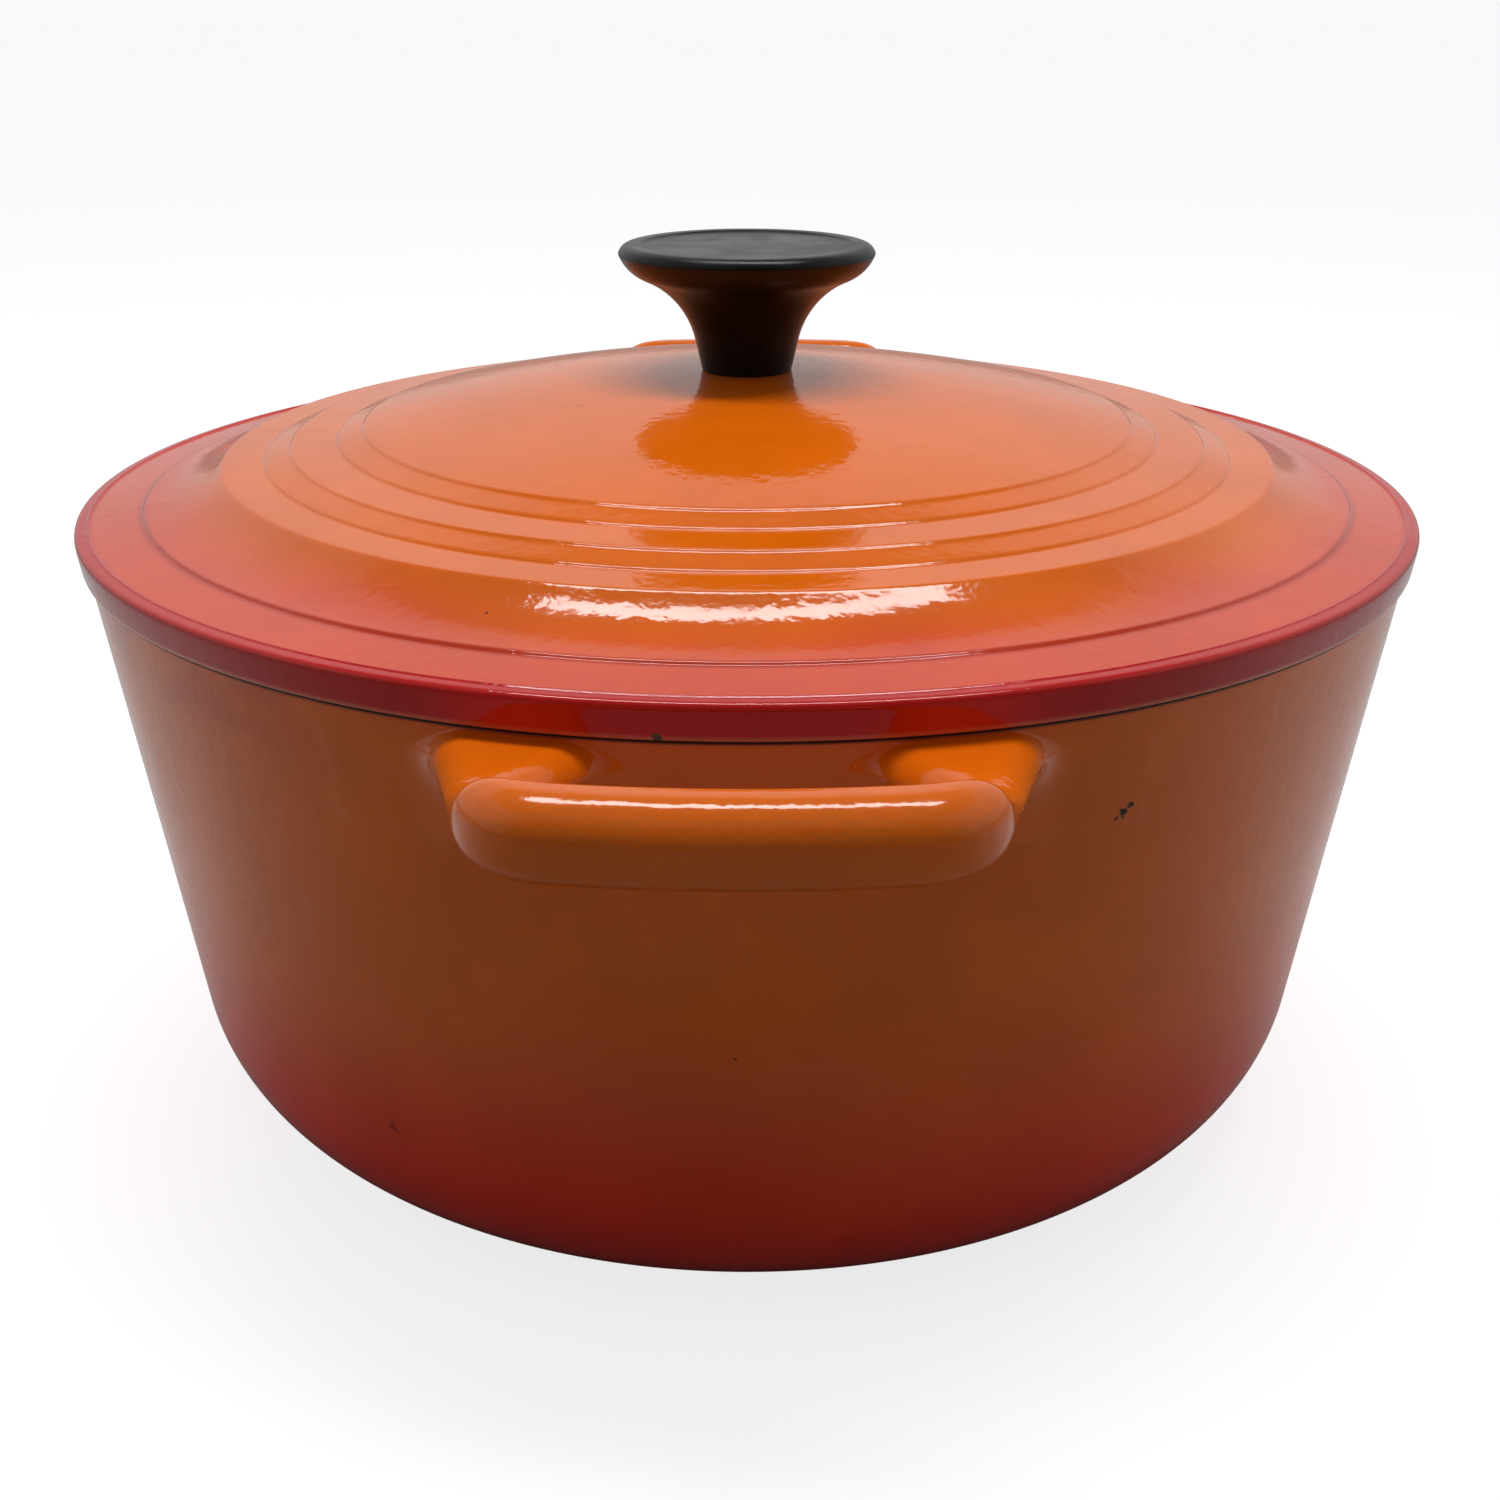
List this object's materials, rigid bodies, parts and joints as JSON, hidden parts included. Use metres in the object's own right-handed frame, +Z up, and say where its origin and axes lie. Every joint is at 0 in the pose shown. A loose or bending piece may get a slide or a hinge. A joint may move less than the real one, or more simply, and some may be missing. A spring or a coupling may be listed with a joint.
{
  "type": "round dutch oven with lid",
  "caption": "Round enamelled cast iron dutch oven with cast loop handles, a lift-off lid with stepped rings, and a black moulded knob.",
  "frame": {"origin": "centre of the pot's base on the surface it stands on", "axes": "+Z up along the pot's axis, +Y towards the rear handle, +X to the right when the front handle (-Y) faces the viewer"},
  "size_m": [0.2599, 0.336, 0.1692],
  "materials": {
    "pot_enamel": "gloss vitreous enamel on cast iron, orange at the top to red at the base, matte black on the rim, sand coloured inside",
    "lid_enamel": "gloss vitreous enamel on cast iron, orange in the middle to red at the rim, sand coloured underneath",
    "black_phenolic": "satin black moulded phenolic",
    "brass": "machined",
    "stainless_steel": "turned and lightly polished"
  },
  "bodies": {
    "pot": {"pot_body": "pot_enamel"},
    "lid": {"lid": "lid_enamel", "lid_knob": "black_phenolic", "knob_insert": "brass", "knob_screw": "stainless_steel", "screw_washer": "stainless_steel"}
  },
  "joints": [
    {"name": "lid_lift", "type": "slide", "parent": "pot", "child": "lid", "axis": [0, 0, 1], "range_m": [0, 0.15]}
  ]
}
